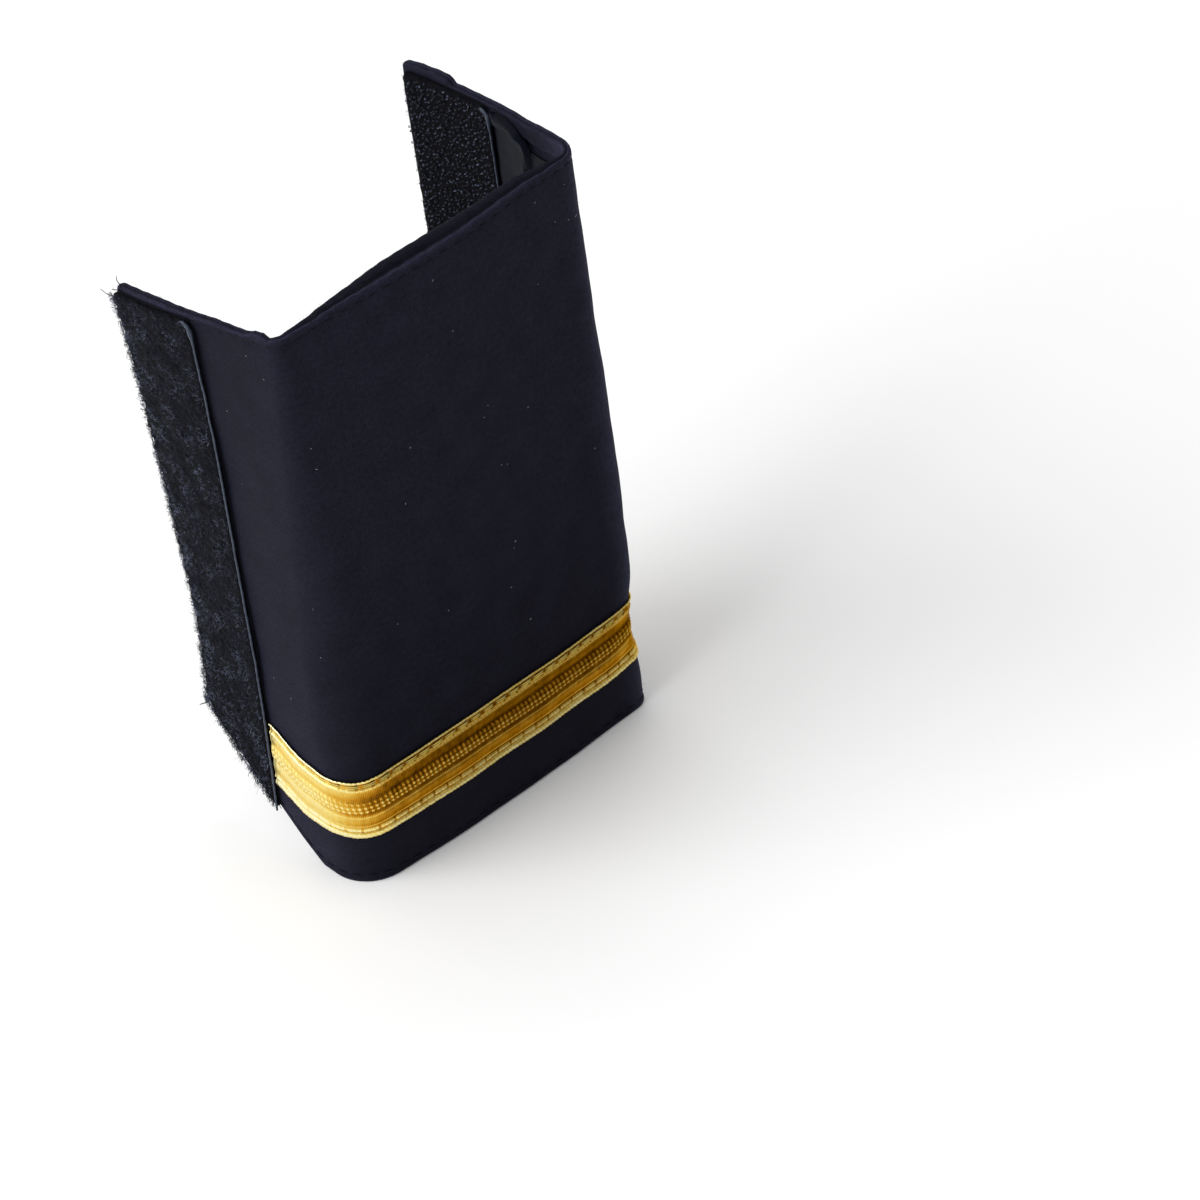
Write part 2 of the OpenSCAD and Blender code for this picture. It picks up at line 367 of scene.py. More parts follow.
def twillMaterial(name, s):
    # wool-blend twill, piece-dyed navy: fine slanting ribs of floats, matt, with a faint sheen; its colour
    # is scaled by the tone, which holds painted light and shade, the bloom at the right fold among it
    material, add = newMaterial(name)
    uv = add("UVMap", {"uv_map": "clothMm"})
    wobble = add("TexNoise", links={"Vector": uv, "Scale": 0.35, "Detail": 2.0})
    bent = add("VectorMath", multiplyAdd, {0: (wobble, "Color"), 1: (0.25, 0.25, 0.0), 2: uv})
    slant = add("Mapping", links={"Vector": bent, "Rotation": (0, 0, math.radians(90 + s["ribAngle"]))})
    rib = add("TexWave", {"bands_direction": "X"}, {
        "Vector": slant, "Scale": wave(s["ribPitch"]), "Distortion": 0.4, "Detail": 1.0,
        "Detail Scale": 2.0})
    warp, weft = [add("TexWave", {"bands_direction": direction}, {
        "Vector": bent, "Scale": wave(s["threadPitch"]), "Distortion": distortion})
        for direction, distortion in (("X", 0.3), ("Y", 0.6))]
    threads = add("Math", multiply, {0: (warp, "Fac"), 1: (weft, "Fac")})
    weave = add("Math", multiplyAdd, {0: (rib, "Fac"), 1: 0.4, 2: threads})
    fibre = add("TexNoise", links={"Vector": uv, "Scale": 5.0, "Detail": 3.0})
    tufts = add("TexNoise", links={"Vector": uv, "Scale": 1.3, "Detail": 2.0})
    height = add("Math", multiplyAdd, {0: fibre, 1: 0.7, 2: weave})
    cloud = add("Math", multiplyAdd, {0: fibre, 1: 0.9, 2: tufts})
    half = add("Math", multiply, {0: cloud, 1: 0.5})
    shade = add("Math", multiplyAdd, {0: weave, 1: 0.4, 2: half})
    colour = setRamp(add("ValToRGB", links={"Fac": shade}),
                     [(0.25, s["valley"]), (0.5, s["middle"]), (0.85, s["crest"])])
    tone = add("Attribute", {"attribute_name": "tone"})
    return finish(material, add, {
        "Base Color": add("VectorMath", {"operation": "SCALE"}, {0: colour, "Scale": (tone, "Fac")}),
        "Normal": add("Bump", links={"Height": height, "Strength": s["bump"], "Distance": s["depth"] * mm}),
        "Roughness": 0.72, "Specular IOR Level": s["gloss"], "Sheen Weight": s["sheen"],
        "Sheen Roughness": 0.45, "Sheen Tint": linear(s["sheenTint"])})


navyTwill = twillMaterial("woolTwillNavy", {
    "ribAngle": -42, "ribPitch": 0.38, "threadPitch": 0.3,  # degrees and mm
    "valley": "0c0c14", "middle": "161621", "crest": "232332",
    "bump": 0.6, "depth": 0.05, "gloss": 0.05, "sheen": 0.02, "sheenTint": "8080b8"})


def plainMaterial(name, s):
    # thread, tape or lining: woven or wound yarn with a fine grain across it
    material, add = newMaterial(name)
    grain = add("TexNoise", links={
        "Vector": (add("TexCoord"), "Object"), "Scale": 1 / (s["grain"] * mm), "Detail": 3.0})
    return finish(material, add, {
        "Base Color": setRamp(add("ValToRGB", links={"Fac": grain}), [(0.3, s["dark"]), (0.7, s["light"])]),
        "Normal": add("Bump", links={"Height": grain, "Strength": s["bump"], "Distance": s["depth"] * mm}),
        "Roughness": s["roughness"], "Specular IOR Level": s["gloss"]})


# filament polyester lining: smoother and a little shinier than the twill
liningCloth = plainMaterial("polyesterLining", {
    "dark": "0a0c13", "light": "11141e", "grain": 0.25, "bump": 0.3, "depth": 0.03,
    "roughness": 0.55, "gloss": 0.07})
# core-spun sewing thread: the cloth's own colour
sewingThread = plainMaterial("sewingThreadNavy", {
    "dark": "0d0d14", "light": "181822", "grain": 0.1, "bump": 0.4, "depth": 0.02,
    "roughness": 0.7, "gloss": 0.12})
# corded selvedge of the strips: bright filament yarn that catches a line of light
selvedgeYarn = plainMaterial("selvedgeYarn", {
    "dark": "1e232f", "light": "424c5e", "grain": 0.2, "bump": 0.4, "depth": 0.02,
    "roughness": 0.5, "gloss": 0.3})
# woven nylon ground of the two strips: black, close and matt
stripGround = plainMaterial("wovenNylonGround", {
    "dark": "060609", "light": "0e0f16", "grain": 0.35, "bump": 0.6, "depth": 0.08,
    "roughness": 0.7, "gloss": 0.04})
# stray white fibres caught in the wool
lintFibre = plainMaterial("lintFibre", {
    "dark": "8c8c94", "light": "c8c8cc", "grain": 0.1, "bump": 0.0, "depth": 0.01,
    "roughness": 0.8, "gloss": 0.2})


def toneMaterial(name, s):
    # colour from each fibre's own tone, so neighbouring fibres differ
    material, add = newMaterial(name)
    tone = add("Attribute", {"attribute_name": "tone"})
    return finish(material, add, {
        "Base Color": setRamp(add("ValToRGB", links={"Fac": (tone, "Fac")}), s["stops"]),
        "Roughness": s["roughness"], "Specular IOR Level": s["gloss"]})


# napped nylon loops: matt black fibres, their tips painted lighter by the tone as a painted highlight
loopFibre = toneMaterial("nylonLoopPile", {
    "stops": [(0, "0a0a10"), (0.5, "2a2c38"), (1, "646b7e")], "roughness": 0.6, "gloss": 0.07})
# cut monofilament hooks: thicker, glossy nylon; the tone paints a glint on the bends
hookFibre = toneMaterial("nylonMonofilamentHooks", {
    "stops": [(0, "060609"), (0.45, "1a1d27"), (0.75, "373e50"), (1, "6a748c")],
    "roughness": 0.35, "gloss": 0.3})


def laceMaterial(name, s):
    # metallised yarn over cotton: brassy where the yarn floats, brown in the satin bands and the gaps
    material, add = newMaterial(name)
    tone = add("Attribute", {"attribute_name": "tone"})
    uv = add("UVMap", {"uv_map": "clothMm"})
    yarn = add("TexWave", {"bands_direction": "X"}, {
        "Vector": uv, "Scale": wave(s["yarnPitch"]), "Distortion": 1.2, "Detail": 2.0, "Detail Scale": 1.5})
    grain = add("TexNoise", links={"Vector": uv, "Scale": 4.0, "Detail": 3.0})
    mixed = add("Math", multiplyAdd, {0: (yarn, "Fac"), 1: 0.10, 2: (tone, "Fac")})
    mottled = add("Math", multiplyAdd, {0: grain, 1: 0.16, 2: mixed})
    rough = add("Math", {"operation": "ADD"}, {0: (yarn, "Fac"), 1: grain})
    return finish(material, add, {
        "Base Color": setRamp(add("ValToRGB", links={"Fac": mottled}), s["stops"]),
        "Normal": add("Bump", links={"Height": rough, "Strength": 0.5, "Distance": 0.03 * mm}),
        "Metallic": s["metallic"], "Roughness": s["roughness"], "Anisotropic": 0.4,
        "Specular Tint": linear(s["tint"])})


goldYarn = laceMaterial("metallisedGoldLace", {
    "yarnPitch": 0.24, "metallic": 1.0, "roughness": 0.36, "tint": "ffe2ac",
    "stops": [(0.08, "301a06"), (0.22, "764a0c"), (0.4, "b87c1a"), (0.55, "dcac3e"), (0.8, "f5e084"),
              (1.0, "fdf7cc")]})
# pale couching thread in the lace's channels: silvery straw colour, not quite gold
couchThread = plainMaterial("couchingThread", {
    "dark": "a48c34", "light": "f0da72", "grain": 0.12, "bump": 0.4, "depth": 0.02,
    "roughness": 0.4, "gloss": 0.3})
print("materials made")

# Outer cloth
clothSettings = {
    "columns": 225, "rows": 112, "rimPoints": 12,
    "endRadius": 0.45,      # mm, rounding of the free edges
    "stitchIn": 1.25,       # mm from the edge to the line of stitches
    "stitchPitch": 2.4, "stitchDip": 0.12,
    "edgeRoll": 0.07,       # how far the turned edge stands out
    "waviness": 0.12,
    "stitch": (1.6, 0.1),   # length and radius
    "foldBulge": 0.5, "bulgeAt": (48, 28),  # the right fold is fuller half way up: height and spread
    "laceDent": 1.2, "dentAt": (16, 6.2),   # and the lace draws it in
    "lobe": (0.28, 0.75),   # the rim is rounded over this share of the thickness, at most so many mm
    "crease": (0.34, 0.55),  # where the rim's two layers meet: share of its thickness on front and flaps
}
# steps of the top edge: where along the cloth, how far up
topSteps = np.array([
    (-58.5, -0.2), (-50, 0), (-45, -0.3), (-33, -0.5), (-31.4, -0.1), (-30.6, 0.35), (-29, 0.35),
    (-28.2, -0.3), (-26.6, 0), (-24.9, 0.25), (-23.4, 0), (24, 0), (30, 0.3), (36, -0.5), (49.5, -0.5),
    (50.5, 0.45), (55.5, 0.4), (58.5, -0.1)])


def topEdge(d):
    # the top edge with its steps
    return high(d) + np.interp(d, *topSteps.T)


def fromEdges(d, z):
    # distances to the top, the bottom and the free edge
    return high(d) - z, z - low(d), halfCloth - np.abs(d)


def fromEdge(d, z):
    # distance to the nearest edge
    return np.minimum.reduce(fromEdges(d, z))


def laceDent(d, z):
    # a bell over the height round the lace, on the right fold
    up, spread = clothSettings["dentAt"]
    return clothSettings["laceDent"] * bell((d - halfWidth) / 4) * bell((z - up) / spread)


def clothRelief(d, z, s):
    # slow waves, a soft roll along each turned edge, and dimples where the thread pulls the cloth in
    waves = s["waviness"] * (hills(d, z, 17, 3) + 0.35 * hills(d, z, 7, 4))
    roll, dips, inwards = 0, 0, s["stitchIn"]
    for k, (edge, along) in enumerate(zip(fromEdges(d, z), (d, d, z))):
        roll = np.maximum(roll, s["edgeRoll"] * (1 - ease(np.abs(edge - 0.45 * inwards) / (0.6 * inwards))))
        pull = 0.65 + 0.35 * np.cos(2 * np.pi * along / s["stitchPitch"] + k)
        dips = np.maximum(dips, s["stitchDip"] * pull * (1 - ease(np.abs(edge - inwards) / 0.7)))
    fade = 0.3 + 0.7 * ease(fromEdge(d, z) / 3)
    up, spread = s["bulgeAt"]
    bulge = s["foldBulge"] * bell((d - halfWidth) / 7) * bell((z - up) / spread)
    return waves * fade + roll - dips + bulge - laceDent(d, z)


def clothBack(d, z):
    # thickness of the cloth with its hem turned in
    return wall(d) + puff(d, z) + hem(d) * (1 - ease((fromEdge(d, z) - board["hemWidth"]) / 0.4))


def paintedClothLight(d, z):
    # painted light and shade: the front darkens towards its foot, the left flap grows lighter towards its
    # foot, and the right fold carries a painted highlight
    left = np.interp(z, [10, 40, 100], [1.1, 0.78, 0.64])
    front = np.interp(z, [8, 24, 55, 100], [0.5, 0.56, 0.86, 1.0])
    right = mix(1.0, 2.4, bell((d - halfWidth) / 3.5))
    return mix(mix(left, front, ease((d + 35) / 14)), right, ease((d - 21) / 6))


def makeCloth(s):
    # a closed loop of points round the cloth's section at every column along it
    ends = np.array([0, 0.05, 0.16, 0.34, 0.6])
    inner = np.linspace(0.9, 2 * halfCloth - 0.9, s["columns"] - 2 * len(ends))
    d = (np.concatenate([ends, inner, 2 * halfCloth - ends[::-1]]) - halfCloth)[:, None]
    # close rows near the edges: t - k sin(2 pi t) bunches them there
    t = np.linspace(0, 1, s["rows"])
    t = t - 0.12 * np.sin(2 * np.pi * t)
    lo, hi = low(d), topEdge(d)
    thick = wall(d) + puff(d, hi) + hem(d)
    lobe = np.minimum(s["lobe"][0] * thick, s["lobe"][1])
    fromEnd = np.minimum((halfCloth - np.abs(d)) / s["endRadius"], 1)
    rounded = np.sqrt(np.clip(1 - (1 - fromEnd) ** 2, 0.004, 1))
    dFace, zFace = d + 0 * t, mix(lo + lobe, hi - lobe, t)
    # the rim's section: two rounded layers with a crease between them, the front layer thin on the front
    rim = s["rimPoints"]
    share = np.linspace(0, 1, rim + 2)[None, 1:-1]
    split = mix(*s["crease"], ease((np.abs(d) - 20) / 8))
    inLayer = np.where(share < split, share / split, (share - split) / (1 - split))
    swell = mix(np.sqrt(np.clip(1 - (2 * inLayer - 1) ** 2, 0, 1)), 1, 0.12 * np.sin(np.pi * share))
    bumps = 0.1 * hills(d, d * 0, 3.1, 9) + 0.07 * np.cos(2 * np.pi * d / s["stitchPitch"])
    behind = (share > split) * np.clip(0.5 * puff(d, hi) / board["fullness"], 0, 1)
    topRim = hi - lobe + (lobe + 0.8 * bumps + behind) * swell
    bottomRim = lo + lobe - lobe * swell[:, ::-1]
    z = np.concatenate([zFace, topRim, zFace[:, ::-1], bottomRim], 1)
    # the section goes up the outer face, over the rim, down the inner face and under
    outer, inner = clothRelief(dFace, zFace, s), -clothBack(dFace, zFace)
    lumpy = (inner + 0.08 * hills(dFace, zFace, 11, 5))[:, ::-1]
    out = np.concatenate([outer, mix(outer[:, -1:], inner[:, -1:], share), lumpy,
                          mix(inner[:, :1], outer[:, :1], share)], 1)
    out = mix(-thick / 2, out, rounded)
    cols, loop = z.shape
    allD = np.repeat(d, loop, 1)
    # a free edge is closed by quads from each outer row to the same row inside, and a face at each rim
    last, k = (cols - 1) * loop, np.arange(s["rows"] - 1)
    mirror = 2 * s["rows"] + rim - 1 - k
    cap = np.stack([k, k + 1, mirror - 1, mirror], -1)
    rimTop = (s["rows"] - 1 + np.arange(rim + 2))[None, :]
    rimLow = (rimTop + s["rows"] + rim) % loop
    faces = [gridFaces(cols, loop, closeRows=True), cap, last + cap[:, ::-1],
             rimTop[:, ::-1], last + rimTop, rimLow[:, ::-1], last + rimLow]
    # the rim shows the turned cloth: its pattern runs on over the edge
    uv = (allD, z + np.where(out < -0.4, out, 0))
    # edges are rubbed a little lighter, and the layer behind the front's top edge is darker
    rubbed = 0.35 * (1 - ease(fromEdge(dFace, zFace) / 0.9))
    # the face's tone holds painted light and shade, lighter rubbed edges and random mottling
    face = paintedClothLight(dFace, zFace) * (1 + rubbed + 0.08 * hills(dFace, zFace, 6, 15))
    backing = mix(0.5, 1.1, ease((np.abs(d) - 22) / 6))
    # the rim's front layer is painted lighter as a painted highlight, and the dip at the crease between the
    # two layers is painted shade
    rimTone = np.where(share < split, 1.4, backing) * (1 - 0.6 * bell((share - split) / 0.07))
    tone = np.concatenate([face, rimTone, face[:, ::-1] * 0.8, np.full((cols, rim), 1.1)], 1)
    return newPiece("outerCloth", wrap(allD, z, out), faces, navyTwill, uv, tone)


outerCloth = makeCloth(clothSettings)
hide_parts("outer_cloth")


# Thin layers on the cloth
def makeLayer(name, d, z, face, back, material, edge):
    # a closed slab over a grid of d and z, whose rim is drawn in to a rounded edge
    rows, cols = d.shape
    r = np.minimum(np.arange(rows), rows - 1 - np.arange(rows))[:, None]
    c = np.minimum(np.arange(cols), cols - 1 - np.arange(cols))[None, :]
    rim = (np.minimum(r, c) == 0) * edge
    outer = wrap(d, z, face - rim * np.sign(face - back))
    points = np.stack([outer, wrap(d, z, back)])
    n = rows * cols
    ring = np.concatenate([np.arange(cols), np.arange(1, rows) * cols + cols - 1,
                           n - 2 - np.arange(cols - 1), np.arange(rows - 2, 0, -1) * cols])
    nextOne = np.roll(ring, -1)
    skin = gridFaces(rows, cols)
    faces = [skin, skin[:, ::-1] + n, np.stack([ring, ring + n, nextOne + n, nextOne], -1)]
    if np.mean(face - back) > 0:
        faces = [f[:, ::-1] for f in faces]
    return newPiece(name, points, faces, material, ([d, d], [z, z]))


def layerCells(d, lowEdge, highEdge, rows):
    # rows at even shares of the way from the low edge to the high one
    z = mix(lowEdge, highEdge, np.linspace(0, 1, rows)[:, None])
    return np.broadcast_to(d, z.shape), z


liningSettings = {
    "inset": 3.8, "columns": 200, "rows": 130, "raised": 0.5,
    # mm: the bowed edge beside the hook strip, its start and depth, its top and reach, its lower reach
    "arc": (41.0, 5.9), "arcTop": (5.0, 4.2), "arcLow": 13,
}


def makeLining(s):
    edge = halfCloth - s["inset"]
    x = np.linspace(-edge, edge, s["columns"])
    # beside the hook strip the facing is cut in a bow: a quarter ellipse from the strip's top corner
    (start, depth), (top, reach) = s["arc"], s["arcTop"]
    bowTop = top - reach * np.sqrt(1 - np.clip((start - x) / depth, 0, 1) ** 2)
    fromTop = mix(s["inset"], np.where(x > start - depth, bowTop, top), ease((x - 28) / 5))
    d, z = layerCells(x, low(x) + s["inset"], high(x) - fromTop, s["rows"])
    down = (high(d) - z - top) / np.where(high(d) - z < top, reach, s["arcLow"])
    beyond = d - start + depth * np.sqrt(np.clip(1 - down ** 2, 0, 1))
    # its edge is raised, with a small lip, as far as the hook strip
    raised = s["raised"] * (ease((beyond + 0.1) / 0.5) + 0.35 * bell((beyond - 0.5) / 0.35))
    raised = raised * (1 - ease((d - 41.3) / 0.7))
    under = wall(d) + puff(d, z) + gap
    hemmed = clothBack(d, z) + 0.1
    creases = 0.08 * hills(d, z, 9, 12) + 0.04 * hills(d, z, 3.5, 13)
    face = -np.maximum(under + board["lining"], hemmed + 0.25) - raised - creases
    back = -np.maximum(under - 0.03, hemmed)
    return makeLayer("liningCloth", d, z, face, back, liningCloth, 0.2)


lining = makeLining(liningSettings)
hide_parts("lining")

stripSettings = {
    "width": 16.5, "inset": 0.6, "drop": 0.6, "pile": 1.4, "corner": 1.5,  # mm
    "short": (-0.15, 0.3),  # how far the loop and the hook strip come short of the flap's free edge
    "cordDrop": 0.6,        # how far the corded edges' tops lie below the strips' upper corners
    "slantLoss": (15, 12),  # height that the slanted end and the sloping top take off, on average
}
inside = -board["flapCloth"] - board["hem"] - gap  # mm out, where the hook strip lies on the hem


def stripCells(side, s, columns, rows):
    # the strip's upper corners are rounded off
    near, far = halfCloth - s["width"], halfCloth - s["short"][0 if side < 0 else 1]
    a = np.linspace(near, far, columns)
    d = side * (a if side > 0 else a[::-1])
    fromSide = np.minimum(np.abs(d) - near, far - np.abs(d))
    inCorner = np.clip(s["corner"] - fromSide, 0, s["corner"])
    rounding = s["corner"] - np.sqrt(s["corner"] ** 2 - inCorner ** 2)
    return layerCells(d, low(d) + s["inset"], high(d) - s["drop"] - rounding, rows)


def makeBase(side, s):
    # the woven ground that carries the loops or the hooks, a little uneven
    d, z = stripCells(side, s, 36, 180)
    if side < 0:
        face = s["pile"] - 0.4 + 0.12 * hills(d, z, 1.6, 21) + 0.1 * hills(d, z, 6, 22)
        return makeLayer("loopStripBase", d, z, face, gap * 0.7, stripGround, 0.35)
    face = inside - 0.45 - 0.04 * hills(d, z, 2, 23)
    return makeLayer("hookStripBase", d, z, face, inside + 0.05, stripGround, 0.25)


loopBase, hookBase = (makeBase(side, stripSettings) for side in (-1, 1))
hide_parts("loop_strip")
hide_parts("hook_strip")

# Loop pile
pileSettings = {
    "fibres": 8600, "length": (0.3, 0.65), "radius": 0.03, "edgeShare": 0.2, "endShare": 0.06,
    "curls": 4800, "curlRadius": (0.14, 0.34), "curlThick": 0.03,
    "hairs": 3600, "hairLength": (0.2, 0.8), "hairRadius": 0.024,
}


def pileRoots(n, r, strip, edgeShare, endShare):
    # random places on the loop strip; some lie along its free edge and along its slanted end
    near, far = halfCloth - strip["width"], halfCloth - strip["short"][0]
    a = r.uniform(near + 0.4, far, n)
    atEdge = r.random(n) < edgeShare
    a = np.where(atEdge, far - np.abs(r.normal(0, 0.3, n)), a)
    z = mix(low(-a) + strip["inset"] + 0.1, high(-a) - strip["drop"] - 0.15, r.random(n))
    atEnd = r.random(n) < endShare
    z = np.where(atEnd, low(-a) + strip["inset"] + np.abs(r.normal(0, 0.25, n)), z)
    return -a, z, atEdge, atEnd & ~atEdge


def pileTone(d, z, r):
    # light and dark tufts; lighter along the free edge and beside the selvedge than in the middle
    a = -d
    tufts = 0.22 * hills(d, z, 6, 24) + 0.13 * hills(d, z, 1.7, 25)
    bands = 0.2 * ease((a - 51) / 7) + 0.08 * (1 - ease((a - 42) / 4)) + 0.12 * (1 - ease(z / 45))
    return np.clip(0.42 + tufts + bands + r.normal(0, 0.1, len(d)), 0.02, 1)


def makePile(s, strip):
    r = np.random.default_rng(41)
    n = s["fibres"]
    d, z, atEdge, atEnd = pileRoots(n, r, strip, s["edgeShare"], s["endShare"])
    out, up, side = outwards(d, z)
    length = mix(*s["length"], r.random(n)) * (0.85 + 0.25 * hills(d, z, 3, 26))
    length = length * np.where(atEdge, mix(1, 0.6, ease((z - 45) / 30)), 1)
    # most fibres are brushed up and inwards, or back
    turn = (np.pi / 4 + r.normal(0, 0.8, n) + np.pi * (r.random(n) < 0.4))[:, None]
    cos, sin = np.cos(turn), np.sin(turn)
    flat, across = cos * side + sin * up, cos * up - sin * side
    # at the free edge the fibres lean out past it, at the slanted end they hang down
    flat = np.where(atEdge[:, None], 0.7 * sin * up - (0.3 + np.abs(cos)) * side, flat)
    flat = np.where(atEnd[:, None], 0.7 * sin * side - (0.3 + np.abs(cos)) * up, flat)
    # each fibre is part of a circle that starts outwards and leans over, curling aside as t^2
    t = np.linspace(0, 1, 4)[None, :, None]
    bend = r.uniform(2.0, 5.5, n)[:, None, None]
    curl = r.normal(0, 0.6, n)[:, None, None]
    out, flat, across = out[:, None], 1.4 * flat[:, None], across[:, None]
    path = wrap(d, z, strip["pile"] - 0.5)[:, None] + length[:, None, None] * (
        out * np.sin(bend * t) / bend + flat * (1 - np.cos(bend * t)) / bend + across * curl * t ** 2)
    radii = s["radius"] * (1 - 0.5 * t[..., 0]) * r.uniform(0.6, 1.3, n)[:, None]
    # each fibre is painted darker at its root, painted shade deep in the pile, and lighter at its tip, a
    # painted highlight
    tone = np.clip(pileTone(d, z, r)[:, None] * mix(0.45, 1.15, t[..., 0]), 0, 1)
    return makeTubes("loopPile", path, radii, 3, loopFibre, tone)


def makeCurls(s, strip):
    # thrown loops: most of a circle, root + r (sin a u + (1 - cos a) v), where u lies on the cloth
    # and v leans between the cloth and straight out
    r = np.random.default_rng(42)
    n = s["curls"]
    d, z, atEdge, atEnd = pileRoots(n, r, strip, 0.02, 0.01)
    out, up, side = outwards(d, z)
    turn = (np.pi / 4 + r.normal(0, 0.7, n) + np.pi * (r.random(n) < 0.5))[:, None]
    tilt = np.radians(r.uniform(15, 75, n))[:, None]
    cos, sin = np.cos(turn), np.sin(turn)
    u, v = cos * side + sin * up, np.cos(tilt) * (cos * up - sin * side) + np.sin(tilt) * out
    v = np.where(atEdge[:, None], -0.5 * side + 0.8 * v, v)
    v = np.where(atEnd[:, None], -0.5 * up + 0.8 * v, v)
    radius = mix(*s["curlRadius"], r.random(n) ** 1.5)[:, None, None]
    a = np.linspace(0.2, 5.3, 6)[None, :, None]
    path = wrap(d, z, strip["pile"] - 0.45)[:, None] + radius * (
        np.sin(a) * u[:, None] + (1 - np.cos(a)) * v[:, None])
    radii = s["curlThick"] * r.uniform(0.7, 1.2, n)[:, None]
    tone = np.clip(pileTone(d, z, r) + 0.08, 0, 1)[:, None]
    return makeTubes("loopCurls", path, radii, 3, loopFibre, tone)


def makeFray(s, strip):
    # fine hairs along both strips' free edges and the loop strip's slanted end, in tufts of uneven length
    r = np.random.default_rng(44)
    n = s["hairs"]
    place = r.random(n)
    loops, end = place < 0.6, (place > 0.6) & (place < 0.82)
    left = loops | end
    a = halfCloth - np.where(left, *strip["short"]) - np.abs(r.normal(0, 0.08, n))
    a = np.where(end, r.uniform(halfCloth - strip["width"] + 0.3, halfCloth, n), a)
    d = np.where(left, -a, a)
    z = mix(low(d) + strip["inset"], high(d) - strip["drop"], r.random(n))
    z = np.where(end, low(d) + strip["inset"], z)
    depth = np.where(left, r.uniform(0.1, strip["pile"] - 0.1, n), inside - r.uniform(0.05, 0.4, n))
    out, up, side = outwards(d, z)
    away = np.where(end[:, None], -up, side * np.sign(d)[:, None])
    aside = r.normal(0, 0.55, (n, 3))
    tufts = 0.55 + 0.45 * hills(d, z, 2.6, 27) + 0.25 * hills(d, z, 0.7, 28)
    shorter = np.where(left, mix(1.1, 0.5, ease((z - 45) / 30)), 0.55)
    length = mix(*s["hairLength"], r.random(n) ** 1.6) * np.clip(tufts, 0.2, 1.4) * shorter
    return makeHairs("stripFray", wrap(d, z, depth), away, aside, length,
                     s["hairRadius"] * np.array([1.1, 1, 0.8, 0.5]), loopFibre,
                     np.clip(r.normal(0.4, 0.2, (n, 1)), 0.05, 1))


loopPile = makePile(pileSettings, stripSettings)
loopCurls = makeCurls(pileSettings, stripSettings)
stripFray = makeFray(pileSettings, stripSettings)

# Hooks
hookSettings = {"pitch": (0.75, 0.77), "reach": 0.56, "radius": 0.075, "jitter": 0.2}


def makeHooks(s, strip):
    r = np.random.default_rng(43)
    near, far = halfCloth - strip["width"] + 0.7, halfCloth - strip["short"][1] - 0.15
    d, z = np.meshgrid(np.arange(near, far, s["pitch"][0]), np.arange(0, board["height"], s["pitch"][1]))
    z = z + np.arange(d.shape[1]) % 2 * s["pitch"][1] / 2
    d, z = d.ravel() + r.normal(0, s["jitter"], d.size), z.ravel() + r.normal(0, s["jitter"], z.size)
    # near the free edge the rows are worn: hooks are missing and stand unevenly
    d = d - 0.5 * (d > far - 0.6) * r.random(d.size)
    keep = (z > low(d) + strip["inset"] + 0.5) & (z < high(d) - strip["drop"] - 0.4)
    keep = keep & ((d < far - 0.9) | (r.random(d.size) < 0.7))
    d, z = d[keep], z[keep]
    n = len(d)
    out, up, side = outwards(d, z)
    turn = (r.normal(0, 0.8, n) + np.where(r.random(n) < 0.5, 0, np.pi))[:, None]
    flat = np.cos(turn) * side + np.sin(turn) * up
    a = np.linspace(0, 3.9, 7)
    # a leg that rises from the ground, bends over and turns back down: an arc of about 220 degrees
    rise = np.sin(np.minimum(a, np.pi)) * 0.38 + np.minimum(a, 1.2) * 0.32 - np.maximum(a - np.pi, 0) * 0.3
    reach = s["reach"] * r.uniform(0.85, 1.15, n)[:, None, None]
    path = wrap(d, z, inside - 0.4)[:, None] - reach * (
        out[:, None] * rise[None, :, None] + flat[:, None] * 0.26 * np.cos(a)[None, :, None])
    radii = s["radius"] * (0.75 + 0.35 * np.sin(np.linspace(0.2, 2.8, len(a))))
    # each hook's tone is a painted glint at its bend, with painted shade at its root; hooks near the free
    # edge are a little lighter
    paintedGlint = np.clip(r.normal(0.58, 0.24, n) + 0.15 * ease((d - 55) / 3), 0.08, 1)
    tone = paintedGlint[:, None] * np.sin(np.linspace(0.25, 2.6, len(a)))
    return makeTubes("hookField", path, radii, 4, hookFibre, tone)


hookField = makeHooks(hookSettings, stripSettings)


# Selvedges and stitches
def makeSelvedges(s):
    # the strips' corded inner edges, from just under the top hem down to the slanted end
    near, corner = halfCloth - s["width"], s["corner"]
    pieces = []
    for name, slot, side, out, longer in (("loopSelvedge", "loop_pile", -1, s["pile"] - 0.6, 0.7),
                                          ("hookSelvedge", "nylon_hooks", 1, inside - 0.5, 0)):
        top = high(side * near) - s["drop"] - s["cordDrop"] - corner
        # over the top corner the cord turns and runs on along the strip's end
        run = np.linspace(low(side * near) + s["inset"] - longer, top, 160)
        turn = np.linspace(0, np.pi / 2, 14)[1:]
        a = np.concatenate([np.full(len(run), near), near + corner * (1 - np.cos(turn))])
        z = np.concatenate([run, top + corner * np.sin(turn)])
        wobble = 0.06 * hills(z, z * 0, 5, 31 + side)
        d = side * (a + wobble * (np.arange(len(a)) < len(run)))
        # thin down the side, thick where the end is folded over at the corner
        radius = 0.17 + 0.03 * np.sin(z * 2 * np.pi / 0.9) + 0.2 * bell((z - top) / 1.3)
        pieces.append(makeTubes(name, wrap(d, z, out)[None], radius[None], 6, selvedgeYarn))
    return pieces


loopSelvedge, hookSelvedge = makeSelvedges(stripSettings)


